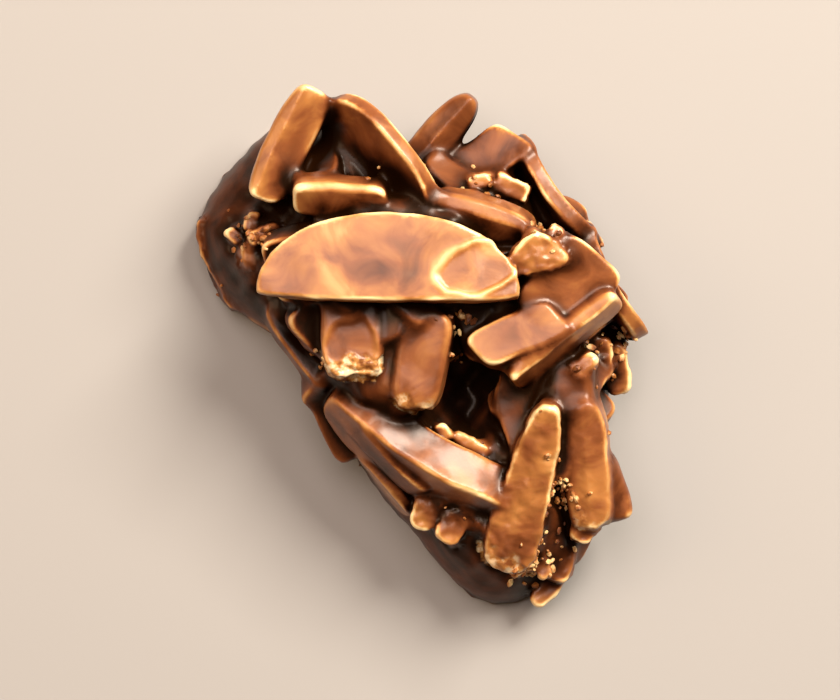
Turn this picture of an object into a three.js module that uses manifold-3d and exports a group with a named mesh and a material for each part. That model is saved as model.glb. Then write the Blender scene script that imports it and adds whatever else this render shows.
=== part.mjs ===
// A milk chocolate almond cluster, in millimetres. +Z is up, +X is the right and +Y the far side as seen from
// above, and the origin is the middle of the flat underside.
//
// Slivered and sliced almonds are stirred into milk chocolate and spooned out, so they set as one piece: a mound
// with a thin rim and a flat underside, and coated almonds that stand, lean and lie in it. Every size below is
// that of the almond with its coat, and all of them are joined with the mound into a single solid.

import * as THREE from "three";
import { mergeVertices } from "three/addons/utils/BufferGeometryUtils.js";
import Module from "manifold-3d";

const wasm = await Module();
wasm.setup();

const { cos, sin, abs, sign, hypot, floor, atan2, exp, sqrt, PI } = Math;
const DEGREE = PI / 180;

// ---- The mound of chocolate ----

// Distance from the middle to the rim, every 15 degrees anticlockwise from +X.
const RIM_RADII = [
  19.8, 20.2, 19.8, 19.8, 21.6, 21.6, 20.6, 23.6, 26.2, 25.8, 24.6, 18.6, //
  9.8, 10.9, 11.4, 11.6, 11.8, 14.2, 17.8, 25.0, 26.2, 23.6, 21.4, 19.6,
];
const RIM_STEP = (2 * PI) / RIM_RADII.length;
const RIM_THICK = 1.7;
const MOUND_HEIGHT = 13.2;
// The mound's side falls as (1 - share of the radius squared) to this power.
const MOUND_FALL = 0.7;
// The deep gap between the almonds, where the chocolate lies low.
const PIT = { x: 4.8, y: -3.6, across: 4.1, along: 5.8, depth: 7.5 };
const MOUND_SEGMENTS = 52;
const MOUND_RINGS = [0.12, 0.26, 0.4, 0.53, 0.65, 0.76, 0.86, 0.94, 1];

// Edges shorter than this are left out of the joined solid.
const SHORTEST_EDGE = 0.04;
// The middle of the joined solid as the sizes here place it, which is moved to the origin at the end.
const MIDDLE = { x: 0.4, y: 0.5 };

// ---- The almonds ----

// A blunt of 2 gives an oval outline, and a higher one gives squarer ends. The edge is the rounding of the
// coat, and sides is the number of points in the outline.
const SLIVER = { width: 3.8, thick: 3.3, edge: 1.0, blunt: 3.4, sides: 10 };
const SLICE = { width: 8.0, thick: 1.7, edge: 0.6, blunt: 2.3, sides: 16 };
const NIB = { width: 1.7, thick: 1.5, edge: 0.45, blunt: 3.2, sides: 6 };

// The almonds that show from above, from the top of the heap down. at is the middle of the almond. yaw turns
// its length away from +X, pitch lifts the end that yaw points to, and roll lifts its left side. chord
// straightens the right side of the outline, taper narrows the far end, skew cuts the ends at a slant, and bow
// lifts the middle.
const ALMONDS = [
  { kind: SLICE, at: [-2.5, 9.1, 15.0], length: 24.8, width: 8.5, yaw: -1, roll: -9, chord: 0.78, blunt: 2.1, bow: 0.5 },
  { kind: SLIVER, at: [-12.1, 20.0, 11.2], length: 11.8, width: 4.2, yaw: 64, pitch: 4 },
  { kind: SLICE, at: [-3.8, 18.1, 11.3], length: 15.0, width: 8.4, yaw: -51, roll: 42, blunt: 2.6, chord: 0.3 },
  { kind: SLIVER, at: [-7.2, 14.9, 12.2], length: 8.8, width: 3.8, yaw: -3, roll: 22, blunt: 5 },
  { kind: SLIVER, at: [6.2, 13.0, 11.4], length: 10.4, width: 4.0, yaw: -17, roll: 20, blunt: 3 },
  { kind: SLIVER, at: [2.2, 21.2, 7.0], length: 9.8, width: 3.6, yaw: 47, pitch: 8, blunt: 2.6 },
  { kind: SLICE, at: [7.4, 19.2, 7.4], length: 6.0, width: 4.6, yaw: 38, roll: -18, blunt: 6, skew: 0.25 },
  { kind: SLIVER, at: [-6.1, 2.2, 12.62], length: 8.8, width: 5.6, yaw: -88, pitch: 3, blunt: 5 },
  { kind: SLIVER, at: [0.7, -0.4, 13.0], length: 9.6, width: 4.8, yaw: -101, pitch: -2, blunt: 4, roll: 10 },
  { kind: SLIVER, at: [-2.4, 0.8, 11.2], length: 8.0, width: 3.0, yaw: -84, thick: 3.0 },
  { kind: SLIVER, at: [9.6, 1.8, 12.4], length: 8.6, width: 4.0, yaw: 24, blunt: 5, roll: -8, skew: 0.3 },
  { kind: SLIVER, at: [14.1, 1.6, 12.0], length: 12.8, width: 3.8, yaw: 39, roll: 30, blunt: 5 },
  { kind: SLICE, at: [14.4, 6.4, 12.2], length: 8.6, width: 7.2, yaw: 50, roll: 12, thick: 2.2, blunt: 6 },
  { kind: SLIVER, at: [0.4, -9.2, 9.0], length: 20.2, width: 6.2, yaw: -32, roll: 62, thick: 4.2, bow: 0.9 },
  { kind: SLIVER, at: [-3.9, -2.85, 9.45], length: 8.0, width: 5.4, yaw: -38, roll: -34, blunt: 4 },
  { kind: SLIVER, at: [10.6, -12.5, 10.4], length: 17.2, width: 4.7, yaw: 75, pitch: 15, blunt: 3.4, taper: 0.3 },
  { kind: SLIVER, at: [16.4, -10.4, 9.4], length: 12.2, width: 4.3, yaw: -86, pitch: -10, roll: 8 },
  { kind: SLIVER, at: [18.8, -12.8, 8.0], length: 6.2, width: 2.8, yaw: -72, pitch: -10, thick: 2.6 },
  { kind: NIB, at: [16.3, -16.2, 7.6], length: 3.8, width: 2.2, yaw: 62, thick: 2.4 },
  { kind: SLIVER, at: [14.8, -3.4, 10.4], length: 5.4, width: 4.2, yaw: 88, thick: 2.4, pitch: -8 },
  { kind: SLICE, at: [13.0, 15.2, 5.6], length: 13.4, width: 7.8, yaw: -54, roll: 76, thick: 1.6, bow: 0.8 },
  { kind: SLICE, at: [18.2, 6.9, 5.6], length: 12.6, width: 8.0, yaw: -62, roll: 79, thick: 1.7, bow: 0.7 },
  { kind: SLICE, at: [-2.5, -11.7, 5.2], length: 8.2, width: 5.8, yaw: -48, roll: 74, thick: 1.4 },
  { kind: SLIVER, at: [-0.5, 13.1, 12.0], length: 9.0, width: 2.8, yaw: -12, thick: 3.0 },
  // broken ends and short bits
  { kind: NIB, at: [10.7, 9.3, 13.8], length: 4.8, width: 3.4, thick: 2.2, yaw: 36, roll: 8 },
  { kind: NIB, at: [12.8, 10.8, 13.2], length: 2.8, width: 1.6, yaw: 68 },
  { kind: NIB, at: [6.2, 16.6, 9.4], length: 2.2, width: 1.3, yaw: 8 },
  { kind: NIB, at: [9.2, 15.9, 9.0], length: 3.4, width: 1.9, yaw: -22 },
  { kind: NIB, at: [16.0, -0.8, 11.0], length: 2.6, width: 1.5, yaw: 40 },
  { kind: NIB, at: [1.0, -14.8, 7.8], length: 3.6, width: 2.6, thick: 2.6, yaw: 74, pitch: 8 },
  { kind: NIB, at: [3.5, -16.5, 8.4], length: 3.2, width: 2.6, thick: 2.4, yaw: 58 },
  { kind: NIB, at: [2.6, -7.3, 9.4], length: 1.8, width: 1.2, yaw: -60 },
  { kind: NIB, at: [5.2, -8.5, 9.0], length: 3.6, width: 1.4, yaw: -28 },
  { kind: NIB, at: [10.2, -20.3, 6.6], length: 2.2, width: 1.6, yaw: 20 },
  { kind: NIB, at: [11.9, -20.0, 6.2], length: 3.4, width: 1.6, yaw: -60 },
  { kind: NIB, at: [14.2, -19.6, 5.0], length: 4.6, width: 2.2, thick: 2.0, yaw: 80 },
  { kind: NIB, at: [12.9, -22.6, 3.2], length: 4.4, width: 1.9, yaw: 50 },
  { kind: NIB, at: [17.6, -0.4, 6.2], length: 4.6, width: 2.4, yaw: 84, pitch: 12 },
  { kind: NIB, at: [19.4, -1.2, 4.4], length: 5.2, width: 2.4, yaw: 98, pitch: 14 },
  { kind: NIB, at: [-15.8, 12.8, 7.8], length: 2.0, width: 1.3, yaw: 70 },
  { kind: NIB, at: [-14.5, 11.5, 8.6], length: 3.0, width: 1.5, yaw: 22 },
  { kind: NIB, at: [-17.4, 11.5, 7.2], length: 1.9, width: 1.3, yaw: -50 },
  { kind: NIB, at: [-15.9, 9.5, 7.6], length: 2.2, width: 1.7, yaw: -70 },
  // the rough lip of the chocolate at the left
  { kind: NIB, at: [-19.1, 8.8, 2.2], length: 9.0, width: 2.2, thick: 2.4, yaw: -68 },
];

// ---- The almonds underneath ----

// They lie along the mound's slope, spread evenly round it by the golden angle, at turns drawn from a fixed seed.
const BED_COUNT = 110;
const BED_REACH = 0.96;
const BED_EDGE = 1.08;
const BED_LENGTH = [7, 11.5];
const BED_WIDTH = [3.0, 4.2];
const BED_THICK = [2.4, 3.2];
const BED_SINK = 0.8;
const BED_TILT = 16 * DEGREE;
const BED_SEED = 7919;
const GOLDEN_ANGLE = PI * (3 - sqrt(5));
// Bare chocolate shows here, so no almond of the bed is set within the radius.
const CLEARINGS = [
  { x: -17.0, y: 12.5, radius: 7.5 },
  { x: PIT.x, y: PIT.y, radius: 6.2 },
  { x: -2.0, y: 0.5, radius: 4.0 },
  { x: -2.5, y: -4.0, radius: 3.5 },
  { x: 7.5, y: -12.5, radius: 4.5 },
  { x: 2.0, y: -16.0, radius: 6.5 },
  { x: 9.0, y: -22.5, radius: 5.5 },
  { x: -17.5, y: 0.5, radius: 6.0 },
];

// Distance from the middle to the rim at an angle, as a smooth curve through RIM_RADII.
function rimRadius(angle) {
  const place = (angle / RIM_STEP + 2 * RIM_RADII.length) % RIM_RADII.length;
  const i = floor(place);
  const t = place - i;
  const [a, b, c, d] = [-1, 0, 1, 2].map((k) => RIM_RADII[(i + k + RIM_RADII.length) % RIM_RADII.length]);
  return 0.5 * (2 * b + (c - a) * t + (2 * a - 5 * b + 4 * c - d) * t ** 2 + (3 * b - a - 3 * c + d) * t ** 3);
}

// How far out a point lies, from 0 in the middle to 1 on the rim.
function rimShare(x, y) {
  return hypot(x, y) / rimRadius(atan2(y, x));
}

// Height of the chocolate over the underside.
function moundHeight(x, y) {
  const share = Math.min(1, rimShare(x, y));
  const pit = PIT.depth * exp(-(((x - PIT.x) / PIT.across) ** 2) - ((y - PIT.y) / PIT.along) ** 2);
  const rise = (MOUND_HEIGHT - RIM_THICK) * (1 - share ** 2) ** MOUND_FALL;
  return RIM_THICK + Math.max(0, rise - pit);
}

// A lathe turned from evenly spaced rings, whose points then move out to the rim and up to the height.
function mound() {
  const underside = [new THREE.Vector2(0, 0), new THREE.Vector2(0.97, 0)];
  const side = [new THREE.Vector2(1, 0.45)];
  const top = [...MOUND_RINGS].reverse().map((share) => new THREE.Vector2(share === 1 ? 0.985 : share, 1));
  const geometry = new THREE.LatheGeometry([...underside, ...side, ...top, new THREE.Vector2(0, 1)], MOUND_SEGMENTS);
  geometry.rotateX(PI / 2);
  const points = geometry.getAttribute("position");
  for (let i = 0; i < points.count; i++) {
    const [x, y, level] = [points.getX(i), points.getY(i), points.getZ(i)];
    const radius = rimRadius(atan2(y, x));
    const isTop = level > 0.9;
    points.setXYZ(i, x * radius, y * radius, isTop ? moundHeight(x * radius, y * radius) : level * RIM_THICK);
  }
  return geometry;
}

// The outline of an almond from above: a rounded oblong with its length along X.
function outline({ length, width, blunt, sides, taper = 0, chord = 0 }) {
  const points = [];
  for (let i = 0; i < sides; i++) {
    const angle = ((i + 0.5) / sides) * 2 * PI;
    const along = sign(cos(angle)) * abs(cos(angle)) ** (2 / blunt);
    const across = sign(sin(angle)) * abs(sin(angle)) ** (2 / blunt) * (1 - taper * along);
    const middle = chord * (abs(across) - 1);
    points.push(new THREE.Vector2((along * length) / 2, ((across + middle) * width) / 2));
  }
  return new THREE.Shape(points);
}

// One coated almond, in place.
function almond({ kind, at, yaw = 0, pitch = 0, roll = 0, bow = 0, skew = 0, ...sizes }) {
  const piece = { ...kind, ...sizes };
  const { length, thick, edge } = piece;
  const geometry = new THREE.ExtrudeGeometry(outline(piece), {
    depth: thick - 2 * edge,
    bevelThickness: edge,
    bevelSize: edge,
    bevelOffset: -edge,
    bevelSegments: 1,
  });
  geometry.translate(0, 0, edge - thick / 2);
  const points = geometry.getAttribute("position");
  for (let i = 0; i < points.count; i++) {
    const along = (2 * points.getX(i)) / length;
    points.setZ(i, points.getZ(i) + bow * (1 - 2 * along ** 2));
    points.setX(i, points.getX(i) - skew * points.getY(i));
  }
  const turn = new THREE.Euler(roll * DEGREE, -pitch * DEGREE, yaw * DEGREE, "ZYX");
  geometry.applyMatrix4(new THREE.Matrix4().makeRotationFromEuler(turn).setPosition(...at));
  return geometry;
}

// The bed's almonds, as entries like those of ALMONDS.
function bed() {
  let state = BED_SEED;
  const draw = ([low, high]) => {
    state = (state * 16807) % 2147483647;
    return low + ((high - low) * state) / 2147483647;
  };
  const pieces = [];
  for (let i = 0; i < BED_COUNT; i++) {
    const angle = i * GOLDEN_ANGLE;
    const radius = BED_REACH * sqrt((i + 0.5) / BED_COUNT) * rimRadius(angle % (2 * PI));
    const [x, y] = [radius * cos(angle), radius * sin(angle)];
    const yaw = draw([-PI, PI]);
    const tilt = draw([-BED_TILT, BED_TILT]);
    const length = draw(BED_LENGTH);
    const width = draw(BED_WIDTH);
    const thick = draw(BED_THICK);
    const roll = draw([-PI / 4, PI / 4]);
    const reach = length / 2;
    const share = (step) => rimShare(x + step * cos(yaw), y + step * sin(yaw));
    if (Math.max(share(reach), share(-reach)) > BED_EDGE) continue;
    if (CLEARINGS.some((c) => hypot(x - c.x, y - c.y) < c.radius)) continue;
    // It lies along the slope under its two ends.
    const ahead = moundHeight(x + reach * cos(yaw), y + reach * sin(yaw));
    const behind = moundHeight(x - reach * cos(yaw), y - reach * sin(yaw));
    const pitch = atan2(ahead - behind, 2 * reach) + tilt;
    const z = (ahead + behind + moundHeight(x, y)) / 3 - BED_SINK + thick / 2;
    const turns = { yaw: yaw / DEGREE, pitch: pitch / DEGREE, roll: roll / DEGREE };
    pieces.push({ kind: SLIVER, sides: 8, at: [x, y, z], length, width, thick, ...turns });
  }
  return pieces;
}

function solid(geometry) {
  const bare = geometry.index ? geometry.toNonIndexed() : geometry;
  bare.deleteAttribute("normal");
  bare.deleteAttribute("uv");
  const merged = mergeVertices(bare, 1e-4);
  const vertProperties = new Float32Array(merged.getAttribute("position").array);
  // A lathe's faces at its axis have two corners in one point, and those are left out.
  const triVerts = [];
  for (let i = 0; i < merged.index.count; i += 3) {
    const [a, b, c] = merged.index.array.subarray(i, i + 3);
    if (a !== b && b !== c && c !== a) triVerts.push(a, b, c);
  }
  return new wasm.Manifold(new wasm.Mesh({ numProp: 3, vertProperties, triVerts: new Uint32Array(triVerts) }));
}

// The mound with every almond joined to it. The largest body's outer skin alone leaves out any sealed hollow.
function cluster() {
  let whole = solid(mound());
  for (const piece of [...ALMONDS, ...bed()]) whole = whole.add(solid(almond(piece)));
  const bodies = whole.decompose();
  const largest = bodies.reduce((most, body) => (body.volume() > most.volume() ? body : most));
  return largest.asOriginal().simplify(SHORTEST_EDGE).translate(-MIDDLE.x, -MIDDLE.y, 0);
}

function geometryOf(body) {
  const { vertProperties, triVerts } = body.getMesh();
  const geometry = new THREE.BufferGeometry();
  geometry.setAttribute("position", new THREE.BufferAttribute(vertProperties, 3));
  geometry.setIndex(new THREE.BufferAttribute(triVerts, 1));
  geometry.computeVertexNormals();
  return geometry;
}

const milkChocolate = new THREE.MeshStandardMaterial({ color: 0x74461f, roughness: 0.38, metalness: 0 });

const group = new THREE.Group();
const mesh = new THREE.Mesh(geometryOf(cluster()), milkChocolate);
mesh.name = "almond_cluster";
group.add(mesh);

export default group;
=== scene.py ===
# %% [markdown]
# # A milk chocolate almond cluster
# Slivered and sliced almonds are stirred into melted milk chocolate and spooned out, and the spoonful sets as one
# craggy heap. The chocolate runs thin over the edges of each almond, where it looks golden, and gathers thick
# between them, where it is darker, and painted shade darkens the gaps and hollows further. The almonds follow the
# imported CAD model in size and place, apart from a few that are shifted by about a millimetre or turned a little,
# and this script gives the heap its soft, run-together surface. Sizes are in millimetres until a mesh is made, and
# Blender works in metres.

import math

import bpy
import numpy as np
import openvdb
from mathutils import Euler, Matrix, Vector, noise


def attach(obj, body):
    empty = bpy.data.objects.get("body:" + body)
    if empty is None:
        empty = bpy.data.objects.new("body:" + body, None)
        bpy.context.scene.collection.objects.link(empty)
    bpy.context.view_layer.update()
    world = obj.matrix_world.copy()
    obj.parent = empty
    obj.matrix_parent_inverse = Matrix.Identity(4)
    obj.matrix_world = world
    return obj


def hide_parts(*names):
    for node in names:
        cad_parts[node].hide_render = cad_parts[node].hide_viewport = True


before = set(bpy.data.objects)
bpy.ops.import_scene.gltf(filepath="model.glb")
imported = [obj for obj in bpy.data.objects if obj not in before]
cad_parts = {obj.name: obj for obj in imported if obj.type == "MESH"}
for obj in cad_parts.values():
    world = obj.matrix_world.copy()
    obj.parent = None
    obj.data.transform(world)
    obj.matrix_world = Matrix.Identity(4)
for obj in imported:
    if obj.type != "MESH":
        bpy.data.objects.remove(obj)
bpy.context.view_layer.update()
MM = 0.001

# %% [markdown]
# ## The mound
# The chocolate that holds the almonds has a thin rim, a flat underside and one deep gap. Its outline is a smooth
# curve through a few radii, measured every 15 degrees. These are the sizes that the solid model has too.

# %% Sizes of the mound
RIM_RADII = np.array(
    [19.8, 20.2, 19.8, 19.8, 21.6, 21.6, 20.6, 23.6, 26.2, 25.8, 24.6, 18.6]
    + [9.8, 10.9, 11.4, 11.6, 11.8, 14.2, 17.8, 25.0, 26.2, 23.6, 21.4, 19.6]
)
RIM_STEP = 2 * math.pi / len(RIM_RADII)
RIM_THICK = 1.7
RIM_ROUND = 1.4
MOUND_HEIGHT = 13.2
MOUND_FALL = 0.7
PIT = {"x": 4.8, "y": -3.6, "across": 4.1, "along": 5.8, "depth": 7.5}
# The middle of the joined solid, which the model moves to the origin.
MIDDLE = np.array([0.4, 0.5, 0.0])


def rim_radius(angle):
    """Distance from the middle to the rim at an angle, as a smooth curve through RIM_RADII."""
    place = (angle / RIM_STEP) % len(RIM_RADII)
    i = np.floor(place).astype(int)
    t = place - i
    a, b, c, d = (RIM_RADII[(i + k) % len(RIM_RADII)] for k in (-1, 0, 1, 2))
    return 0.5 * (2 * b + (c - a) * t + (2 * a - 5 * b + 4 * c - d) * t**2 + (3 * b - a - 3 * c + d) * t**3)


def rim_share(x, y):
    """How far out a point lies, from 0 in the middle to 1 on the rim."""
    return np.hypot(x, y) / rim_radius(np.arctan2(y, x))


def mound_height(x, y):
    """Height of the chocolate over the underside."""
    share = np.minimum(1, rim_share(x, y))
    pit = PIT["depth"] * np.exp(-(((x - PIT["x"]) / PIT["across"]) ** 2) - ((y - PIT["y"]) / PIT["along"]) ** 2)
    rise = (MOUND_HEIGHT - RIM_THICK) * (1 - share**2) ** MOUND_FALL
    return RIM_THICK + np.maximum(0, rise - pit)


print("height of the mound beside the gap:", round(float(mound_height(-3.0, 4.0)), 1), "mm")

# %% [markdown]
# ## The almonds
# A blanched almond is cut lengthwise into slivers or across into slices, and some break into nibs. Each one here is
# a rounded oblong with a length, a width and a thickness. yaw turns it away from +X, pitch lifts the end that yaw
# points to, and roll lifts its left side. A chord straightens the right side of a slice, and a bow bends it. taper
# narrows the end that yaw points to, skew cuts both ends at a slant, and roof slopes its top down from a ridge.
# thin says how little chocolate covers it, from 0 for a thick dark coat to 1 for bare almond showing through, and
# melt is how widely the chocolate runs into the joint round it. broken says how bare a snapped end is, below zero for
# the end behind, snapped is how far the bareness reaches, and rough says how chipped the faces are.

# %% The almonds that show from above
SLIVER = {"width": 3.8, "thick": 3.3, "edge": 0.42, "blunt": 3.6}
SLICE = {"width": 8.0, "thick": 1.7, "edge": 0.28, "blunt": 2.3}
NIB = {"width": 1.7, "thick": 1.5, "edge": 0.3, "blunt": 3.4, "rough": 0.8}


def almond(kind, at, length, **sizes):
    """One almond's sizes, place and turns, with what its kind gives it."""
    whole = {"yaw": 0, "pitch": 0, "roll": 0, "chord": 0, "bow": 0, "taper": 0, "skew": 0, "roof": 0, "ridge": 0}
    whole.update(thin=0.45, melt=0.7, broken=0, snapped=1.3, rough=0)
    return {**whole, **kind, "at": np.array(at), "length": length, **sizes}


# What sets a few of the almonds apart: their edges, tops, joints and broken ends.
BROAD = {"chord": 0.78, "blunt": 2.1, "bow": 0.5, "melt": 0.5}
SNAPPED_BAR = {"edge": 0.7, "melt": 0.8, "broken": 0.8, "snapped": 2.2}
CUT_STUB = {"edge": 0.7, "melt": 0.9, "broken": 0.5, "snapped": 1.1}
LONG_BAR = {"roof": 0.7, "ridge": 0.9, "melt": 0.5}
LEFT_PILLAR = {"blunt": 3.4, "taper": 0.3, "roof": 0.15, "rough": 0.6, "broken": -0.5, "snapped": 1.8}
RIGHT_PILLAR = {"roof": 0.2, "melt": 1.2, "rough": 0.3, "broken": 0.35, "snapped": 1.0}
CHIP = {"taper": -0.4, "skew": 0.35, "blunt": 6, "rough": 1.2}

ALMONDS = [
    almond(SLICE, (-2.5, 9.1, 15.0), 24.8, width=8.5, yaw=-1, roll=-9, thin=0.64, **BROAD),
    almond(SLIVER, (-12.1, 20.0, 11.2), 11.8, width=4.2, yaw=64, pitch=4, roof=0.4, ridge=0.9, thin=0.6, melt=1.4),
    almond(SLICE, (-3.3, 18.5, 10.7), 15.0, width=8.4, yaw=-51, roll=55, blunt=2.6, chord=0.3, thin=0.38, melt=1.4),
    almond(SLIVER, (-7.2, 14.9, 12.2), 8.8, width=3.8, yaw=-3, roll=22, roof=0.3, ridge=1.2, blunt=5, thin=0.66),
    almond(SLIVER, (6.2, 13.0, 11.4), 10.4, width=4.0, yaw=-17, roll=20, roof=0.45, ridge=0.7, blunt=3, thin=0.56),
    almond(SLIVER, (2.2, 21.2, 7.0), 9.8, width=3.6, yaw=47, pitch=8, blunt=2.6, roof=0.5, thin=0.42, melt=1.4),
    almond(SLICE, (7.4, 19.2, 7.4), 6.0, width=4.6, yaw=38, roll=-18, blunt=6, skew=0.25, thin=0.38, melt=0.9),
    almond(SLIVER, (-6.1, 2.2, 12.62), 8.8, width=5.6, yaw=-88, pitch=3, blunt=5, thin=0.42, **SNAPPED_BAR),
    almond(SLIVER, (0.7, -0.4, 13.0), 9.6, width=4.8, yaw=-101, pitch=-2, roll=10, blunt=4, thin=0.44, **CUT_STUB),
    almond(SLIVER, (-2.5, 0.4, 12.0), 8.6, width=3.2, yaw=-82, thick=3.0, edge=1.0, thin=0.54, melt=1.1),
    almond(SLIVER, (9.6, 1.8, 12.4), 8.6, width=4.0, yaw=24, blunt=5, roll=-8, skew=0.3, thin=0.6, melt=1.0),
    almond(SLIVER, (14.1, 1.6, 12.0), 12.8, width=3.8, yaw=39, roll=30, blunt=5, thin=0.55, **LONG_BAR),
    almond(SLICE, (14.4, 6.4, 12.2), 8.6, width=7.2, yaw=50, roll=12, thick=2.2, blunt=6, thin=0.5, melt=1.6),
    almond(SLIVER, (0.4, -9.2, 9.0), 20.2, width=6.2, yaw=-32, roll=61, thick=4.2, bow=0.9, thin=0.46, melt=0.5),
    almond(SLIVER, (-3.2, -2.1, 10.3), 8.0, width=5.4, yaw=-38, roll=-30, blunt=4, edge=1.0, thin=0.34, melt=2.0),
    almond(SLIVER, (10.6, -12.5, 10.4), 17.2, width=4.7, yaw=75, pitch=15, thin=0.56, **LEFT_PILLAR),
    almond(SLIVER, (16.4, -10.4, 9.4), 12.2, width=4.3, yaw=-86, pitch=-10, roll=8, thin=0.56, **RIGHT_PILLAR),
    almond(SLIVER, (18.8, -12.8, 8.0), 6.2, width=2.8, yaw=-72, pitch=-10, thick=2.6, edge=0.9, thin=0.42, melt=1.4),
    almond(NIB, (16.3, -16.2, 7.6), 3.8, width=2.2, yaw=62, thick=2.4, thin=0.7),
    almond(SLIVER, (14.8, -3.4, 10.4), 5.4, width=4.2, yaw=88, thick=2.4, pitch=-8, edge=0.9, thin=0.35, melt=1.8),
    almond(SLICE, (13.0, 15.2, 5.6), 13.4, width=7.8, yaw=-54, roll=76, thick=1.6, bow=0.8, thin=0.4),
    almond(SLICE, (18.2, 6.9, 5.6), 12.6, width=8.0, yaw=-62, roll=79, thick=1.7, bow=0.7, thin=0.4),
    almond(SLICE, (-2.9, -12.2, 5.9), 8.2, width=5.8, yaw=-50, roll=84, thick=1.2, thin=0.7, melt=0.4),
    almond(SLIVER, (-0.5, 13.1, 12.0), 9.0, width=2.8, yaw=-12, thick=3.0, edge=1.3, thin=0.34, melt=2.0),
]
print(len(ALMONDS), "whole almonds, the longest", max(a["length"] for a in ALMONDS), "mm")

# %% Broken ends and short bits
ALMONDS += [
    almond(NIB, (10.7, 9.4, 13.8), 5.0, width=3.2, thick=2.2, yaw=36, roll=8, thin=0.6, **CHIP),
    almond(NIB, (12.8, 10.8, 13.4), 3.2, width=1.5, yaw=68, thin=0.7, rough=1.4),
    almond(NIB, (6.2, 16.6, 9.4), 2.2, width=1.3, yaw=8, thin=0.74),
    almond(NIB, (9.2, 15.9, 9.0), 3.4, width=1.9, yaw=-22, blunt=6, thin=0.7),
    almond(NIB, (16.0, -0.8, 11.0), 2.6, width=1.5, yaw=40, thin=0.85),
    almond(NIB, (1.0, -14.8, 7.8), 3.6, width=2.6, thick=2.6, yaw=74, pitch=8, thin=0.7),
    almond(NIB, (3.5, -16.5, 8.4), 3.2, width=2.6, thick=2.4, yaw=58, thin=0.55),
    almond(NIB, (2.6, -7.3, 9.4), 1.8, width=1.2, yaw=-60, thin=0.8),
    almond(NIB, (5.2, -8.5, 9.0), 3.6, width=1.4, yaw=-28, thin=0.8),
    almond(NIB, (10.2, -20.3, 6.6), 2.2, width=1.6, yaw=20, thin=0.9),
    almond(NIB, (11.9, -20.0, 6.2), 3.4, width=1.6, yaw=-60, thin=0.7),
    almond(NIB, (14.2, -19.6, 5.0), 4.6, width=2.2, thick=2.0, yaw=80, thin=0.4),
    almond(NIB, (12.9, -22.6, 3.2), 4.4, width=1.9, yaw=50, thin=0.6),
    almond(NIB, (17.6, -0.4, 6.2), 4.6, width=2.4, yaw=84, pitch=12, thin=0.5),
    almond(NIB, (19.4, -1.2, 4.4), 5.2, width=2.4, yaw=98, pitch=14, thin=0.5),
    almond(NIB, (-15.8, 12.8, 7.8), 2.0, width=1.3, yaw=70, thin=0.5),
    almond(NIB, (-14.5, 11.5, 8.6), 3.0, width=1.5, yaw=22, thin=0.5),
    almond(NIB, (-17.4, 11.5, 7.2), 1.9, width=1.3, yaw=-50, thin=0.45),
    almond(NIB, (-15.9, 9.5, 7.6), 2.2, width=1.7, yaw=-70, thin=0.7),
    # the rough lip of the chocolate at the left
    almond(NIB, (-19.1, 8.8, 2.2), 9.0, width=2.2, thick=2.4, yaw=-68, thin=0.3, melt=1.2),
]
print(len(ALMONDS), "almonds with the short bits")

# %% [markdown]
# ## The almonds underneath
# Under those that show, more slivers lie along the slope of the mound. A real heap has no order, but it has no bare
# side either, so they are spread evenly by the golden angle, and a fixed seed draws their turns and sizes.

# %% The bed of slivers
BED_COUNT = 110
BED_REACH = 0.96
BED_EDGE = 1.08
BED_LENGTH = (7, 11.5)
BED_WIDTH = (3.0, 4.2)
BED_THICK = (2.4, 3.2)
BED_SINK = 0.8
BED_TILT = math.radians(16)
BED_SEED = 7919
BED_ROLL = math.pi / 4
GOLDEN_ANGLE = math.pi * (3 - math.sqrt(5))
# No sliver is laid within these: a place from above and a radius.
CLEARINGS = [(-17.0, 12.5, 7.5), (PIT["x"], PIT["y"], 6.2), (-2.0, 0.5, 4.0), (-2.5, -4.0, 3.5)]
CLEARINGS += [(7.5, -12.5, 4.5), (2.0, -16.0, 6.5), (9.0, -22.5, 5.5), (-17.5, 0.5, 6.0)]


def bed():
    """The slivers underneath, by the rule and the seed that the solid model uses."""
    state = BED_SEED
    laid = []

    def draw(low, high):
        nonlocal state
        state = state * 16807 % 2147483647
        return low + (high - low) * state / 2147483647

    for i in range(BED_COUNT):
        angle = i * GOLDEN_ANGLE
        radius = BED_REACH * math.sqrt((i + 0.5) / BED_COUNT) * float(rim_radius(np.array(angle % (2 * math.pi))))
        x, y = radius * math.cos(angle), radius * math.sin(angle)
        yaw = draw(-math.pi, math.pi)
        tilt = draw(-BED_TILT, BED_TILT)
        length, width, thick = draw(*BED_LENGTH), draw(*BED_WIDTH), draw(*BED_THICK)
        roll = draw(-BED_ROLL, BED_ROLL)
        reach = length / 2
        ends = [(x + s * reach * math.cos(yaw), y + s * reach * math.sin(yaw)) for s in (1, -1)]
        if max(float(rim_share(*end)) for end in ends) > BED_EDGE:
            continue
        if any(math.hypot(x - cx, y - cy) < clear for cx, cy, clear in CLEARINGS):
            continue
        ahead, behind = (float(mound_height(*end)) for end in ends)
        pitch = math.atan2(ahead - behind, 2 * reach) + tilt
        z = (ahead + behind + float(mound_height(x, y))) / 3 - BED_SINK + thick / 2
        turns = {"yaw": math.degrees(yaw), "pitch": math.degrees(pitch), "roll": math.degrees(roll)}
        laid.append(almond(SLIVER, (x, y, z), length, width=width, thick=thick, thin=0.3, **turns))
    return laid


ALMONDS += bed()
print(len(ALMONDS), "almonds with the bed")

# %% [markdown]
# ## One run-together surface
# The heap could be many meshes pushed into each other, but their joints would be knife-sharp, and chocolate fills
# every joint with a small fillet. So each almond is first a distance field: a number at each point of a grid that
# says how far that point is from the almond's skin. Two fields are joined by a minimum that is smooth over about a
# millimetre, which is what the chocolate does, and the surface is drawn where the joined distance is zero.

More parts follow.
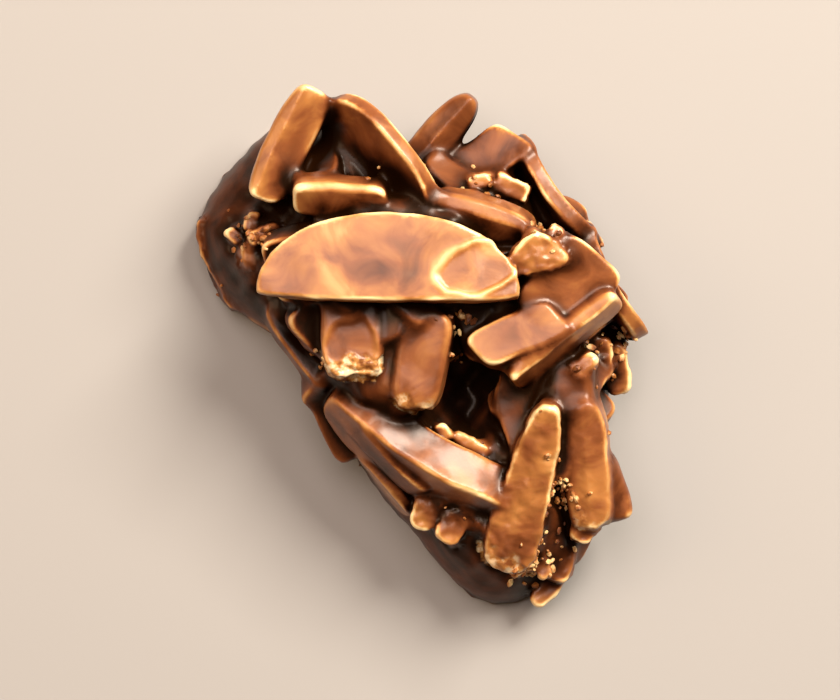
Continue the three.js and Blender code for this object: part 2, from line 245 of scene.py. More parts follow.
# %% The grid
STEP = 0.2
LOW = np.array([-23.2, -26.6, -0.5])
HIGH = np.array([23.2, 26.6, 18.3])
COUNT = np.ceil((HIGH - LOW) / STEP).astype(int)
AXES = [LOW[k] + STEP * np.arange(COUNT[k]) for k in range(3)]
print("grid", COUNT.tolist(), "points,", STEP, "mm apart")


def smooth_join(a, b, round_over):
    """The lesser of two distances, rounded where they meet."""
    h = np.clip(0.5 + 0.5 * (b - a) / round_over, 0, 1)
    return b + (a - b) * h - round_over * h * (1 - h)


# %% The mound's distance field
def mound_field():
    """Distance to the mound's skin: its top, its round rim and its flat underside."""
    x, y = np.meshgrid(AXES[0] + MIDDLE[0], AXES[1] + MIDDLE[1], indexing="ij")
    # Two sets of crossed waves, about 5 and 3 mm long. On the top they die out at the rim, and half goes to the rim.
    wobble = 0.35 * np.sin(x * 1.1 + 0.7 * y) * np.sin(y * 0.9 - 0.4 * x)
    wobble = wobble + 0.25 * np.sin(2.3 * x) * np.sin(1.9 * y + 1)
    share = rim_share(x, y)
    height = mound_height(x, y) + wobble * np.clip((1 - share) * 4, 0, 1)
    slope = np.hypot(*np.gradient(height, STEP))
    top = (AXES[2][None, None, :] - height[..., None]) / np.sqrt(1 + np.minimum(slope, 4) ** 2)[..., None]
    side = (np.hypot(x, y) - rim_radius(np.arctan2(y, x)) - 0.5 * wobble)[..., None]
    return -smooth_join(-top, -side, RIM_ROUND)


# The coat changes from one almond's to the next one's over about this far, in millimetres.
COAT_BLEND = 0.22
# What thin reads where no almond is near, and the distance that counts as far from every almond.
BARE_MOUND = 0.3
FAR_OFF = 9
field = mound_field().astype(np.float32)
nearest = np.full(field.shape, FAR_OFF, dtype=np.float32)
owner = np.full(field.shape, -1, dtype=np.int16)
weight = np.full(field.shape, 1e-9)
thinness = BARE_MOUND * weight
print("mound: lowest distance", round(float(field.min()), 1), "mm")


# %% [markdown]
# ## An almond's distance field
# From above, an almond is an oval raised to a power, which gives it a rounder or squarer end. The distance to that
# outline and the distance to its two faces are joined with a round edge.


# %% The almond's outline and distance
def outline(piece, sides=34):
    """The corners of an almond's outline from above, its length along X."""
    angle = (np.arange(sides) + 0.5) / sides * 2 * math.pi
    power = 2 / piece["blunt"]
    along = np.sign(np.cos(angle)) * np.abs(np.cos(angle)) ** power
    across = np.sign(np.sin(angle)) * np.abs(np.sin(angle)) ** power
    middle = piece["chord"] * (np.abs(across) - 1)
    return np.stack([along * piece["length"] / 2, (across + middle) * piece["width"] / 2], axis=1)


def outline_distance(x, y, corners):
    """Distance to a closed outline, negative inside it."""
    nearest_square = np.full(x.shape, 1e9, dtype=np.float32)
    inside = np.zeros(x.shape, dtype=bool)
    for (ax, ay), (bx, by) in zip(corners, np.roll(corners, -1, axis=0)):
        ex, ey = bx - ax, by - ay
        px, py = x - ax, y - ay
        t = np.clip((px * ex + py * ey) / (ex * ex + ey * ey), 0, 1)
        nearest_square = np.minimum(nearest_square, (px - ex * t) ** 2 + (py - ey * t) ** 2)
        if ey:
            inside ^= ((ay > y) != (by > y)) & (px < ex * py / ey)
    return np.sqrt(nearest_square) * np.where(inside, -1, 1)


def turn_of(piece):
    """The almond's turn, as a 3 x 3 matrix from its own axes to the heap's."""
    yaw, pitch, roll = (math.radians(piece[k]) for k in ("yaw", "pitch", "roll"))
    return np.array(Euler((roll, -pitch, yaw), "XYZ").to_matrix())


def own_axes(piece, points):
    """Points of the heap in an almond's own axes, with its bow taken out."""
    local = (points + MIDDLE - piece["at"]) @ turn_of(piece)
    along = np.clip(2 * local[..., 0] / piece["length"], -1.15, 1.15)
    local[..., 2] -= piece["bow"] * (1 - 2 * along**2)
    return local


def almond_distance(piece, points):
    """Distance to an almond's skin."""
    x, y, z = np.moveaxis(own_axes(piece, points), -1, 0)
    edge = piece["edge"]
    y = y / (1 - piece["taper"] * np.clip(2 * x / piece["length"], -1, 1))
    flat = outline_distance(x + piece["skew"] * y, y, outline(piece)) + edge
    slope = piece["roof"]
    top = (z + slope * np.abs(y - piece["ridge"]) - piece["thick"] / 2) / math.hypot(1, slope)
    deep = np.maximum(top, -z - piece["thick"] / 2) + edge
    return np.minimum(np.maximum(flat, deep), 0) + np.hypot(np.maximum(flat, 0), np.maximum(deep, 0)) - edge


# %% Join every almond to the mound
MARGIN = 3.0
# An almond's coat counts from this deep inside it to this far outside it.
COAT_DEPTHS = (-0.6, 3)


def join(number, piece):
    """Joins one almond into the field, in the part of the grid around it."""
    half = np.array([piece["length"], piece["width"], piece["thick"] + 2 * piece["bow"]]) / 2
    reach = np.abs(turn_of(piece)) @ half + MARGIN
    low = np.maximum(0, np.floor((piece["at"] - MIDDLE - reach - LOW) / STEP)).astype(int)
    high = np.minimum(COUNT, np.ceil((piece["at"] - MIDDLE + reach - LOW) / STEP).astype(int))
    part = tuple(slice(a, b) for a, b in zip(low, high))
    points = np.stack(np.meshgrid(*[AXES[k][part[k]] for k in range(3)], indexing="ij"), axis=-1)
    distance = almond_distance(piece, points).astype(np.float32)
    field[part] = smooth_join(field[part], distance, piece["melt"])
    closer = distance < nearest[part]
    nearest[part] = np.where(closer, distance, nearest[part])
    owner[part] = np.where(closer, number, owner[part])
    share = np.exp(-np.clip(distance, *COAT_DEPTHS) / COAT_BLEND)
    weight[part] += share
    thinness[part] += share * piece["thin"]


# The bed goes in first, and the broad slice last, as they lie.
for number in reversed(range(len(ALMONDS))):
    join(number, ALMONDS[number])
# The underside is where the heap was spooned onto something flat.
field = np.maximum(field, -AXES[2][None, None, :]).astype(np.float32)
print("cells inside:", int((field < 0).sum()), "which is", round(float((field < 0).sum()) * STEP**3 / 1000, 2), "cm3")


# %% Draw the surface where the distance is zero
def surface(values):
    """Points and four-sided faces of the surface at distance zero, the largest island of it."""
    grid = openvdb.FloatGrid(3.0)
    grid.copyFromArray(values)
    points, quads = grid.convertToQuads(isovalue=0.0)
    label = np.arange(len(points))
    while True:
        lower = label.copy()
        np.minimum.at(lower, quads.ravel(), np.repeat(label[quads].min(axis=1), 4))
        lower = lower[lower]
        if (lower == label).all():
            break
        label = lower
    main = np.bincount(label).argmax()
    kept = label == main
    renumber = np.cumsum(kept) - 1
    return points[kept] * STEP + LOW, renumber[quads[kept[quads[:, 0]]]]


points, quads = surface(field)
print("surface:", len(points), "points,", len(quads), "faces")

# %% [markdown]
# ## What each point of the surface knows
# Colour follows form here. On a convex edge the chocolate is thin and the almond glows through, in a hollow it is
# thick and darker, with painted shade added in hollows and deep gaps, and along an almond it lies in faint streaks.
# Each of these is measured once at every point of the surface, and kept as an attribute that the material reads.


# %% Reading the grid at any point
def sample(values, where):
    """The grid's value at points, in millimetres, between its eight neighbours."""
    place = (where - LOW) / STEP
    place = np.clip(place, 0, np.array(values.shape) - 1.001)
    cell = np.floor(place).astype(int)
    t = place - cell
    total = 0
    for corner in np.ndindex(2, 2, 2):
        share = np.prod(np.where(corner, t, 1 - t), axis=1)
        total = total + share * values[tuple((cell + corner).T)]
    return total


def blurred(values, cells):
    """The grid with each value spread evenly over a box of cells each way."""
    for axis in range(3):
        padded = np.concatenate([np.repeat(values.take([0], axis), cells + 1, axis), values], axis)
        padded = np.concatenate([padded, np.repeat(values.take([-1], axis), cells, axis)], axis)
        total = np.cumsum(padded, axis=axis, dtype=np.float64)
        size = values.shape[axis]
        upper = total.take(range(2 * cells + 1, 2 * cells + 1 + size), axis)
        values = ((upper - total.take(range(size), axis)) / (2 * cells + 1)).astype(np.float32)
    return values


def smooth_step(low, high, value):
    """0 below low, 1 above high, and a smooth rise between."""
    t = np.clip((value - low) / (high - low), 0, 1)
    return t * t * (3 - 2 * t)


at = points
slopes = [sample(slope, at) for slope in np.gradient(field)]
out = np.stack(slopes, axis=1)
out /= np.maximum(np.linalg.norm(out, axis=1, keepdims=True), 1e-6)
# A blur over a few cells each way is positive where the surface bulges and negative where it is hollow.
RIDGE_CELLS, RIDGE_REACH = 2, 0.4
SWELL_CELLS, SWELL_REACH = 6, 1.2
NEAR = 2.5
near_field = np.clip(field, -NEAR, NEAR)
ridge = 3 * sample(blurred(near_field, RIDGE_CELLS), at) / RIDGE_REACH
# The broad blur lightens bulges in the colour, and darkens hollows as a painted shade.
swell_and_hollow_shade = 3 * sample(blurred(near_field, SWELL_CELLS), at) / SWELL_REACH
# Away from any almond the chocolate is thick and dark. The coat gets there over about this far, in millimetres.
THICK_COAT = 0.18
COAT_FALL = 0.35
cover = np.exp(-np.clip(sample(nearest, at), 0, 3) / COAT_FALL)
thin = THICK_COAT + (sample(thinness, at) / sample(weight, at) - THICK_COAT) * cover
for name, values in (("ridge", ridge), ("swell_and_hollow_shade", swell_and_hollow_shade), ("thin", thin)):
    print(name, "from", np.round(np.percentile(values, [1, 25, 50, 75, 99]), 2))


# %% How open a point is to the light
# How far out to look, in millimetres, and how much each look counts.
LOOKS = [(0.6, 0.2), (1.2, 0.25), (2.2, 0.3), (3.6, 0.25)]


def openness(where, outward):
    """1 where nothing is near, towards 0 deep in a gap, from distances read along the outward direction."""
    shut = 0
    for step, share in LOOKS:
        clear = sample(field, where + outward * step) / step
        shut = shut + share * np.clip(1 - clear, 0, 1)
    return 1 - shut


open_air = openness(at, out)
print("open air", np.round(np.percentile(open_air, [1, 25, 50, 75, 99]), 2))

# %% [markdown]
# ## Lumps, streaks and broken ends
# Set chocolate isn't geometric. The whole heap is bent a little by a slow random field, the coat has soft lumps a
# few millimetres apart, and the coat on each almond is drawn out in streaks along its length. Where an almond was
# snapped, its end is rough and pale. The random fields are Blender's own noise, which is the same on every run.


# %% Slow bends, lumps and streaks
def noise_at(where, size, shift=0.0):
    """Random values from -1 to 1 that change over about size millimetres. Fields with other shifts don't line up."""
    spots = where / size + shift
    return np.array([noise.noise(Vector(spot)) for spot in spots])


# A point belongs to an almond when it is this near to one, in millimetres.
BELONGS = 0.5
# Streaks are drawn out along an almond: their stretch, then how strong and how wide the fine and the broad ones are.
DRAWN_OUT = [0.28, 1.0, 1.0]
FINE_STREAKS = (0.25, 0.75)
BROAD_STREAKS = (1.2, 1.9)
index = np.clip(np.round((at - LOW) / STEP).astype(int), 0, COUNT - 1)
almond_at = np.where(nearest[tuple(index.T)] < BELONGS, owner[tuple(index.T)], -1)
on_almond = almond_at >= 0
streaks = np.zeros(len(at))
bare = np.zeros(len(at))
rough = np.zeros(len(at))
for number, piece in enumerate(ALMONDS):
    mine = np.flatnonzero(almond_at == number)
    if not len(mine):
        continue
    local = own_axes(piece, at[mine])
    drawn_out = local * DRAWN_OUT + number * 7.3
    for strength, wide in (FINE_STREAKS, BROAD_STREAKS):
        streaks[mine] += strength * noise_at(drawn_out, wide)
    rough[mine] = piece["rough"]
    if piece["broken"]:
        from_end = local[:, 0] * np.sign(piece["broken"]) - piece["length"] / 2 + piece["snapped"]
        bare[mine] = smooth_step(-0.2, 0.6, from_end + 1.5 * noise_at(local, 1.3, 4.1)) * abs(piece["broken"])


# %% Move the points
# How far each kind of unevenness moves the surface, in millimetres. The underside stays flat.
BEND, BEND_SIZE = 0.16, 3.2
LUMP, FINE_LUMP, STREAK = 0.04, 0.012, 0.08
BROKEN, BROKEN_BACK = 0.36, 0.15
CHIPPED, CHIPPED_FINE = 0.24, 0.14
stands = smooth_step(0.0, 1.2, at[:, 2])
bend = np.array([noise.noise_vector(Vector(spot)) for spot in at / BEND_SIZE])
lumps = noise_at(at, 1.7, 11.0)
fine = noise_at(at, 0.7, 23.0)
rough_end = 0.5 * noise_at(at, 0.5, 37.0) + 2.0 * noise_at(at, 1.3, 41.0)
moved = at + bend * BEND * stands[:, None]
lift = LUMP * lumps + FINE_LUMP * fine + STREAK * thin * streaks * on_almond
lift = lift + bare * (BROKEN * rough_end - BROKEN_BACK)
# Chipped faces are uneven, with a coarse and a fine grain.
lift = lift + rough * (CHIPPED * noise_at(at, 1.4, 61.0) + CHIPPED_FINE * noise_at(at, 0.6, 67.0))
moved = moved + out * (lift * stands)[:, None]
print("moved by up to", round(float(np.abs(moved - at).max()), 2), "mm")

# %% [markdown]
# ## Scars and hollows
# The broad slice lay against something while it set, and an oval of its coat came away. The almond shows there,
# with a raised rim of chocolate round it. The coat also sank a little in the middle of the broken sliver. Each is
# an oval in its almond's own axes.


# %% An oval dent
def oval_dent(number, x, y, length, width, turn, rim, blunt=2, wander=0.25):
    """How much each point is on the rim, and how much on the floor, of an oval on an almond's upper face."""
    local = own_axes(ALMONDS[number], at)
    east, north = local[:, 0] - x, local[:, 1] - y
    turn = math.radians(turn)
    along = east * math.cos(turn) + north * math.sin(turn)
    across = north * math.cos(turn) - east * math.sin(turn)
    oval = (np.abs(along / (length / 2)) ** blunt + np.abs(across / (width / 2)) ** blunt) ** (1 / blunt)
    from_rim = (oval - 1) * width / 2 + wander * noise_at(at, 1.6, 51.0)
    on_face = (almond_at == number) & (local[:, 2] > 0)
    return np.exp(-((from_rim / rim) ** 2)) * on_face, smooth_step(0.1, -0.5, from_rim) * on_face


scar_rim, scar_floor = oval_dent(0, 8.0, -1.0, length=7.8, width=4.8, turn=16, rim=0.27, wander=0.4)
sunk_rim, sunk_floor = oval_dent(7, 0.9, 0.1, length=4.4, width=4.8, turn=0, rim=0.35, blunt=3, wander=0.8)
# How high each rim stands and how deep each floor lies, in millimetres.
SCAR_RISE, SCAR_DEPTH = 0.16, 0.08
SUNK_RISE, SUNK_DEPTH = 0.06, 0.2
dents = SCAR_RISE * scar_rim - SCAR_DEPTH * scar_floor + SUNK_RISE * sunk_rim - SUNK_DEPTH * sunk_floor
moved = moved + out * dents[:, None]
moved[:, 2] = np.maximum(moved[:, 2], 0)
moved[at[:, 2] < 0.02, 2] = 0
print("points on the scar:", int((scar_floor > 0.5).sum()), "and in the hollow:", int((sunk_floor > 0.5).sum()))

# %% [markdown]
# ## From the grid to a mesh
# The grid gives small faces all over, on the flat underside as on the edges. Decimate thins them where the surface
# is flat, keeps the edges of the almonds crisp, and carries each point's attributes along.


# %% The mesh with its attributes
def mesh_object(name, points, faces):
    """A new object with its mesh in place, from points in millimetres."""
    mesh = bpy.data.meshes.new(name)
    mesh.from_pydata((points * MM).tolist(), [], faces.tolist())
    made = bpy.data.objects.new(name, mesh)
    bpy.context.scene.collection.objects.link(made)
    return made


def keep(piece, name, values):
    """A number for each point of a piece, for the material to read."""
    kept = piece.data.attributes.new(name, "FLOAT", "POINT")
    kept.data.foreach_set("value", np.clip(values, -2, 2).astype(np.float32))


def applied(source, name):
    """The object with its modifiers made real, in a plain mesh, in place of the source."""
    graph = bpy.context.evaluated_depsgraph_get()
    mesh = bpy.data.meshes.new_from_object(source.evaluated_get(graph), depsgraph=graph)
    made = bpy.data.objects.new(name, mesh)
    mesh.name = name
    bpy.context.scene.collection.objects.link(made)
    bpy.data.objects.remove(source)
    return made


raw = mesh_object("raw_heap", moved, quads)
# The coat is not as thin all along an edge, so the golden line comes and goes. Hollows get a painted shade instead.
EDGE_FROM, EDGE_FULL = 0.28, 0.85
HOLLOW_FROM, HOLLOW_FULL, CREASE_SHADE = 0.15, 0.9, 0.5
worn = np.clip(0.75 + 1.3 * noise_at(at, 2.6, 71.0), 0.2, 1.4)
edge_line_and_crease_shade = worn * smooth_step(EDGE_FROM, EDGE_FULL, ridge)
edge_line_and_crease_shade = edge_line_and_crease_shade - CREASE_SHADE * smooth_step(HOLLOW_FROM, HOLLOW_FULL, -ridge)
kept_values = {"thin_coat": thin, "edge_line_and_crease_shade": edge_line_and_crease_shade, "swell_and_hollow_shade": np.clip(swell_and_hollow_shade, -1, 1), "open_air": open_air}
# The scar's rim is drawn paler, and the rim of the sunk hollow on the snapped sliver is painted paler as a highlight.
SUNK_RIM_HIGHLIGHT = 0.35
pale_rim_and_rim_highlight = np.maximum(scar_rim, SUNK_RIM_HIGHLIGHT * sunk_rim)
kept_values.update(streaks=streaks, bare=bare, scar_rim=pale_rim_and_rim_highlight, scar_floor=scar_floor)
for name, values in kept_values.items():
    keep(raw, name, values)
print("kept:", ", ".join(kept_values))

# %% Thinned
FACES_KEPT = 192000
thinned = raw.modifiers.new("thin", "DECIMATE")
thinned.ratio = FACES_KEPT / (2 * len(quads))
thinned.use_collapse_triangulate = True
cluster = applied(raw, "almond_heap")
corners = np.array([list(face.vertices) for face in cluster.data.polygons])
triangle = np.array([vertex.co for vertex in cluster.data.vertices])[corners]
volume = float(np.einsum("ij,ij->i", triangle[:, 0], np.cross(triangle[:, 1], triangle[:, 2])).sum() / 6)
# The volume is positive when the faces point outwards.
if volume < 0:
    cluster.data.flip_normals()
cluster.data.shade_smooth()
print(cluster.name, len(corners), "faces,", round(abs(volume) * 1e6, 2), "cm3, pointed", "in" if volume < 0 else "out")

# %% [markdown]
# ## Milk chocolate
# Milk chocolate set in air is satin: cocoa butter gives a smooth skin with an index of refraction near 1.46. It is
# a warm brown with some light passing under the skin. Where it is thinner than about half a millimetre over a
# blanched almond it turns caramel and then golden, and the colour ramp below goes through those steps.


# %% Colour and node helpers
def linear(code):
    """A hex sRGB colour as the linear numbers that shaders take."""
    parts = [int(code[i : i + 2], 16) / 255 for i in (1, 3, 5)]
    return tuple(p / 12.92 if p <= 0.04045 else ((p + 0.055) / 1.055) ** 2.4 for p in parts) + (1.0,)


def add(tree, kind, inputs=None, **settings):
    """One node with its settings. An input is given a value, or another node's output to link."""
    made = tree.nodes.new(kind)
    for name, value in settings.items():
        setattr(made, name, value)
    for name, value in (inputs or {}).items():
        if isinstance(value, bpy.types.NodeSocket):
            tree.links.new(value, made.inputs[name])
        else:
            made.inputs[name].default_value = value
    return made


def stops(ramp, colours):
    """Sets a colour ramp's stops from pairs of place and hex colour."""
    band = ramp.color_ramp
    while len(band.elements) < len(colours):
        band.elements.new(0.5)
    for element, (place, code) in zip(band.elements, colours):
        element.position = place
        element.color = linear(code)


# %% Milk chocolate, poured thin over almonds
COAT_COLOURS = [
    (0.0, "#180902"),
    (0.08, "#2e1407"),
    (0.2, "#542810"),
    (0.36, "#814824"),
    (0.54, "#ac7038"),
    (0.74, "#d3a163"),
    (1.0, "#f6d79c"),
]
# How much each attribute moves a point along those colours, and how much the cloudy patches and the painted shade in
# the gaps do.
COAT_SHARES = {
    "thin_coat": 0.72,
    "edge_line_and_crease_shade": 0.52,
    "swell_and_hollow_shade": 0.1,
    "streaks": 0.1,
    "scar_rim": 0.42,
    "scar_floor": 0.03,
}
CLOUD_SHARE = 0.8
GAP_SHADE_SHARE = 0.44
OPEN_ENOUGH = 0.98
CREAM_COLOURS = [(0.38, "#6e3c18"), (0.5, "#c48a48"), (0.6, "#f3dcae")]


def milk_chocolate(name):
    """Satin milk chocolate whose colour follows how thin it lies."""
    made = bpy.data.materials.new(name)
    made.use_nodes = True
    tree = made.node_tree
    tree.nodes.clear()
    place = add(tree, "ShaderNodeTexCoord").outputs["Object"]

    def read(name):
        return add(tree, "ShaderNodeAttribute", attribute_name=name).outputs["Fac"]

    def maths(operation, a, b, clamp=False):
        return add(tree, "ShaderNodeMath", {0: a, 1: b}, operation=operation, use_clamp=clamp).outputs[0]

    # Cloudy patches about 4 mm across, as the coat drains unevenly before it sets.
    cloud = add(tree, "ShaderNodeTexNoise", {"Vector": place, "Scale": 250.0, "Detail": 3.0, "Distortion": 0.9})
    cloudy = maths("MULTIPLY", maths("SUBTRACT", cloud.outputs["Fac"], 0.5), maths("ADD", read("thin_coat"), 0.3))
    thin = 0.0
    for attribute, share in COAT_SHARES.items():
        thin = maths("ADD", maths("MULTIPLY", read(attribute), share), thin)
    thin = maths("ADD", thin, maths("MULTIPLY", cloudy, CLOUD_SHARE))
    # Painted shade: the colour darkens where a point is shut in from the light, as in a deep gap.
    gap_shade = maths("SUBTRACT", read("open_air"), OPEN_ENOUGH)
    thin = maths("ADD", thin, maths("MULTIPLY", gap_shade, GAP_SHADE_SHARE), clamp=True)
    ramp = add(tree, "ShaderNodeValToRGB", {"Fac": thin})
    stops(ramp, COAT_COLOURS)
    # Snapped almond is cream, with a grain about a millimetre wide.
    grain = add(tree, "ShaderNodeTexNoise", {"Vector": place, "Scale": 900.0, "Detail": 3.0})
    cream = add(tree, "ShaderNodeValToRGB", {"Fac": grain.outputs["Fac"]})
    stops(cream, CREAM_COLOURS)
    colour = add(tree, "ShaderNodeMix", data_type="RGBA")
    tree.links.new(read("bare"), colour.inputs[0])
    tree.links.new(ramp.outputs["Color"], colour.inputs[6])
    tree.links.new(cream.outputs["Color"], colour.inputs[7])
    # The skin's own grain, about 0.3 mm, breaks up the highlights.
    skin = add(tree, "ShaderNodeTexNoise", {"Vector": place, "Scale": 3300.0, "Detail": 2.0})
    bump = add(tree, "ShaderNodeBump", {"Height": skin.outputs["Fac"], "Strength": 0.2, "Distance": 0.00005})
    patch = add(tree, "ShaderNodeTexNoise", {"Vector": place, "Scale": 700.0, "Detail": 2.0})
    dull = add(tree, "ShaderNodeMapRange", {"Value": patch.outputs["Fac"], "To Min": 0.34, "To Max": 0.5})
    # Little light gets into a deep gap, so little is mirrored there. Thick chocolate sets duller than a thin coat.
    open_part = add(tree, "ShaderNodeMapRange", {"Value": read("open_air"), "From Min": 0.25, "From Max": 0.85})
    thin_part = maths("ADD", maths("MULTIPLY", read("thin_coat"), 1.3), 0.1, clamp=True)
    shiny = maths("MULTIPLY", open_part.outputs[0], thin_part)
    skin_shader = add(
        tree,
        "ShaderNodeBsdfPrincipled",
        {
            "Base Color": colour.outputs[2],
            "Roughness": dull.outputs[0],
            "Normal": bump.outputs[0],
            "IOR": 1.46,
            "Specular Tint": linear("#ffdcbc"),
            "Specular IOR Level": maths("MULTIPLY", shiny, 0.62),
            "Coat Weight": maths("MULTIPLY", shiny, 0.6),
            "Coat Roughness": 0.24,
            "Coat IOR": 1.46,
            "Subsurface Weight": 0.08,
            "Subsurface Scale": 0.0008,
        },
    )
    skin_shader.inputs["Subsurface Radius"].default_value = (1.0, 0.45, 0.2)
    add(tree, "ShaderNodeOutputMaterial", {"Surface": skin_shader.outputs[0]})
    return made


chocolate = milk_chocolate("milk_chocolate_poured_over_almonds")
cluster.data.materials.clear()
cluster.data.materials.append(chocolate)
print(chocolate.name, "has", len(chocolate.node_tree.nodes), "nodes")

# %% [markdown]
# ## Crumbs
# Stirring knocks small crumbs off the almonds, and they stick where the heap is rough: by the snapped ends, between
# the long slivers and along the right side. Geometry Nodes scatters one angular chip over the heap, more thickly
# where an attribute says so. The seed is fixed, but Decimate doesn't leave quite the same faces on every run, so
# some crumbs lie elsewhere each time.

# %% Where crumbs stick
# A spot's place from above in millimetres, its radius, and how thickly the crumbs lie there.
CRUMB_SPOTS = [
    (3.8, 2.6, 0.9, 1.0),
    (3.4, -0.6, 0.7, 0.6),
    (-9.2, -1.0, 0.8, 0.9),
    (-5.2, -8.4, 0.7, 1.0),
    (-3.6, -9.7, 0.6, 0.8),
    (13.6, -13.6, 2.2, 1.3),
    (10.8, -20.2, 2.0, 1.2),
    (14.0, -19.6, 1.6, 0.8),
    (19.6, 0.4, 2.2, 0.5),
    (15.6, -2.6, 1.6, 0.5),
    (11.6, 10.8, 1.2, 0.6),
    (5.4, 16.4, 1.6, 0.4),
    (-16.4, 10.8, 2.2, 0.4),
    (-20.4, 5.0, 1.6, 0.4),
]


def crumb_share(where):
    """How thickly crumbs lie at points of the heap, from 0 to about 1."""
    share = 0
    for x, y, radius, amount in CRUMB_SPOTS:
        far = np.hypot(where[:, 0] - x, where[:, 1] - y) / radius
        share = share + amount * np.exp(-(far**2))
    return share


heap_at = np.array([vertex.co for vertex in cluster.data.vertices]) / MM
heap_out = np.array([vertex.normal for vertex in cluster.data.vertices])
heap_open = np.array([value.value for value in cluster.data.attributes["open_air"].data])
# Crumbs keep to the nooks, with a few anywhere, and none hang under a ledge or lie at the foot.
OPEN_LOSS = 0.85
STRAY = 0.002
LEDGE = 0.1
FOOT = 0.8
in_nook = 1 - OPEN_LOSS * smooth_step(0.7, 0.95, heap_open)
crumbly = (crumb_share(heap_at) * in_nook + STRAY) * (heap_out[:, 2] > LEDGE) * (heap_at[:, 2] > FOOT)
keep(cluster, "crumbly", crumbly)
print("crumbs may lie on", int((crumbly > 0.1).sum()), "points")


# %% Scatter them
CHIP_LEAST = (0.8, 0.6, 0.45)
CHIP_MOST = (1.5, 1.1, 0.9)
LENGTH_SEED = 5
SIZE_SEED = 9


def crumb_tree():
    """Scatters angular chips over a surface, as thickly as its crumbly attribute says."""
    tree = bpy.data.node_groups.new("crumbs_on_a_heap", "GeometryNodeTree")
    face = tree.interface
    face.new_socket("Heap", in_out="INPUT", socket_type="NodeSocketGeometry")
    for name in ("Per square metre", "Smallest", "Largest"):
        face.new_socket(name, in_out="INPUT", socket_type="NodeSocketFloat")
    face.new_socket("Seed", in_out="INPUT", socket_type="NodeSocketInt")
    face.new_socket("Crumb material", in_out="INPUT", socket_type="NodeSocketMaterial")
    face.new_socket("Crumbs", in_out="OUTPUT", socket_type="NodeSocketGeometry")
    given = add(tree, "NodeGroupInput").outputs
    thick = add(tree, "GeometryNodeInputNamedAttribute", {"Name": "crumbly"}, data_type="FLOAT")
    density = add(tree, "ShaderNodeMath", {0: thick.outputs[0], 1: given["Per square metre"]}, operation="MULTIPLY")
    spots = add(tree, "GeometryNodeDistributePointsOnFaces", {"Mesh": given["Heap"], "Seed": given["Seed"]})
    tree.links.new(density.outputs[0], spots.inputs["Density"])
    chip = add(tree, "GeometryNodeMeshIcoSphere", {"Radius": 1.0, "Subdivisions": 1})
    turn = add(tree, "FunctionNodeRandomValue", {"Seed": given["Seed"]}, data_type="FLOAT_VECTOR")
    turn.inputs[1].default_value = (math.tau, math.tau, math.tau)
    # Every chip has its own length, width and thickness, and is turned its own way.
    long = add(tree, "FunctionNodeRandomValue", {"Seed": LENGTH_SEED}, data_type="FLOAT_VECTOR")
    long.inputs[0].default_value = CHIP_LEAST
    long.inputs[1].default_value = CHIP_MOST
    size = add(tree, "FunctionNodeRandomValue", {"Seed": SIZE_SEED}, data_type="FLOAT")
    tree.links.new(given["Smallest"], size.inputs[2])
    tree.links.new(given["Largest"], size.inputs[3])
    scale = add(tree, "ShaderNodeVectorMath", {0: long.outputs[0]}, operation="SCALE")
    tree.links.new(size.outputs[1], scale.inputs["Scale"])
    on_spots = {"Points": spots.outputs["Points"], "Instance": chip.outputs["Mesh"]}
    laid = add(tree, "GeometryNodeInstanceOnPoints", on_spots)
    tree.links.new(turn.outputs[0], laid.inputs["Rotation"])
    tree.links.new(scale.outputs[0], laid.inputs["Scale"])
    real = add(tree, "GeometryNodeRealizeInstances", {"Geometry": laid.outputs[0]})
    made_of = add(tree, "GeometryNodeSetMaterial", {"Geometry": real.outputs[0], "Material": given["Crumb material"]})
    add(tree, "NodeGroupOutput", {"Crumbs": made_of.outputs[0]})
    return tree


# %% Crumbs of blanched almond, thinly coated
def almond_crumb(name):
    """Cream almond in places and golden coat in others, in patches about 1.4 mm wide. Dry, so it is dull."""
    made = bpy.data.materials.new(name)
    made.use_nodes = True
    tree = made.node_tree
    tree.nodes.clear()
    place = add(tree, "ShaderNodeTexCoord").outputs["Object"]
    grain = add(tree, "ShaderNodeTexNoise", {"Vector": place, "Scale": 700.0, "Detail": 2.0})
    ramp = add(tree, "ShaderNodeValToRGB", {"Fac": grain.outputs["Fac"]})
    stops(ramp, [(0.36, "#5e3012"), (0.5, "#a5652c"), (0.64, "#e6bf82")])
    skin = {"Base Color": ramp.outputs["Color"], "Roughness": 0.5, "IOR": 1.45, "Subsurface Weight": 0.1}
    shader = add(tree, "ShaderNodeBsdfPrincipled", {**skin, "Subsurface Scale": 0.0006})
    add(tree, "ShaderNodeOutputMaterial", {"Surface": shader.outputs[0]})
    return made


crumb_maker = bpy.data.objects.new("crumb_maker", cluster.data.copy())
bpy.context.scene.collection.objects.link(crumb_maker)
scatter = crumb_maker.modifiers.new("crumbs", "NODES")
scatter.node_group = crumb_tree()
crumb_sizes = {"Per square metre": 2.2e6, "Smallest": 0.16 * MM, "Largest": 0.48 * MM, "Seed": 17}
crumb_sizes["Crumb material"] = almond_crumb("crumbs_of_blanched_almond")
for socket in scatter.node_group.interface.items_tree:
    if socket.in_out == "INPUT" and socket.name in crumb_sizes:
        scatter[socket.identifier] = crumb_sizes[socket.name]
crumbs = applied(crumb_maker, "almond_crumbs")
CHIP_FACES = 20
print(crumbs.name, "has", len(crumbs.data.polygons) // CHIP_FACES, "crumbs")

# %% The heap stands for the solid
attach(crumbs, "root")
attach(cluster, "root")
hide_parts("almond_cluster")

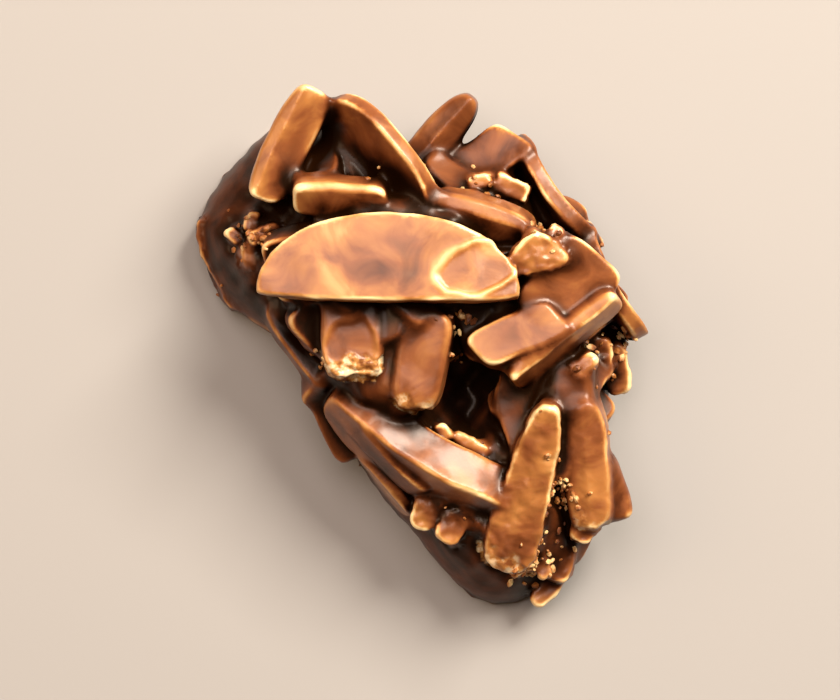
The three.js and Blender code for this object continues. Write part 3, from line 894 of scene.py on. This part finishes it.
# %% [markdown]
# ## Floor, light and camera
# The heap stands on a plain pale floor. One wide soft light comes from the upper right, as in the picture that it is
# matched to, with a weaker one from the left and a pale one from high up at the back, which gives the coat its
# sheen. The camera looks straight down.

# %% Floor
bpy.ops.mesh.primitive_plane_add(size=3.0, location=(0, 0, 0))
floor = bpy.context.object
floor.name = "pale_floor"
floor_paint = bpy.data.materials.new("pale_matt_board")
floor_paint.use_nodes = True
board = floor_paint.node_tree.nodes["Principled BSDF"]
board.inputs["Base Color"].default_value = linear("#a29e98")
board.inputs["Roughness"].default_value = 0.8
floor.data.materials.append(floor_paint)


# %% Lights
def soft_light(name, azimuth, height, distance, size, watts, colour):
    """A square light that points at the heap. Azimuth is from +X towards +Y, height is above the floor."""
    lamp = bpy.data.lights.new(name, "AREA")
    lamp.size = size
    lamp.energy = watts
    lamp.color = linear(colour)[:3]
    made = bpy.data.objects.new(name, lamp)
    azimuth, height = math.radians(azimuth), math.radians(height)
    flat = distance * math.cos(height)
    place = Vector((flat * math.cos(azimuth), flat * math.sin(azimuth), distance * math.sin(height)))
    made.location = place
    made.rotation_euler = (-place).to_track_quat("-Z", "Y").to_euler()
    bpy.context.scene.collection.objects.link(made)
    return made


soft_light("key", 48, 42, 0.6, 0.26, 7.7, "#fff5ea")
soft_light("left_fill", 165, 40, 0.6, 0.3, 1.1, "#ffdcb8")
soft_light("top_left_sheen", 115, 66, 0.6, 0.4, 2.6, "#fff0ec")
world = bpy.data.worlds.new("studio")
bpy.context.scene.world = world
world.use_nodes = True
world.node_tree.nodes["Background"].inputs["Color"].default_value = linear("#e8b988")
world.node_tree.nodes["Background"].inputs["Strength"].default_value = 0.1
# Plain colours, as a product picture has them, with no film-like roll-off.
bpy.context.scene.view_settings.view_transform = "Standard"

# %% Camera
FRAME_WIDTH = 0.080
DISTANCE = 0.32
MIDDLE_HEIGHT = 0.010
lens = bpy.data.cameras.new("camera")
lens.lens = lens.sensor_width * DISTANCE / FRAME_WIDTH
lens.clip_start = 0.01
camera = bpy.data.objects.new("camera", lens)
camera.location = (0, 0, DISTANCE + MIDDLE_HEIGHT)
bpy.context.scene.collection.objects.link(camera)
bpy.context.scene.camera = camera
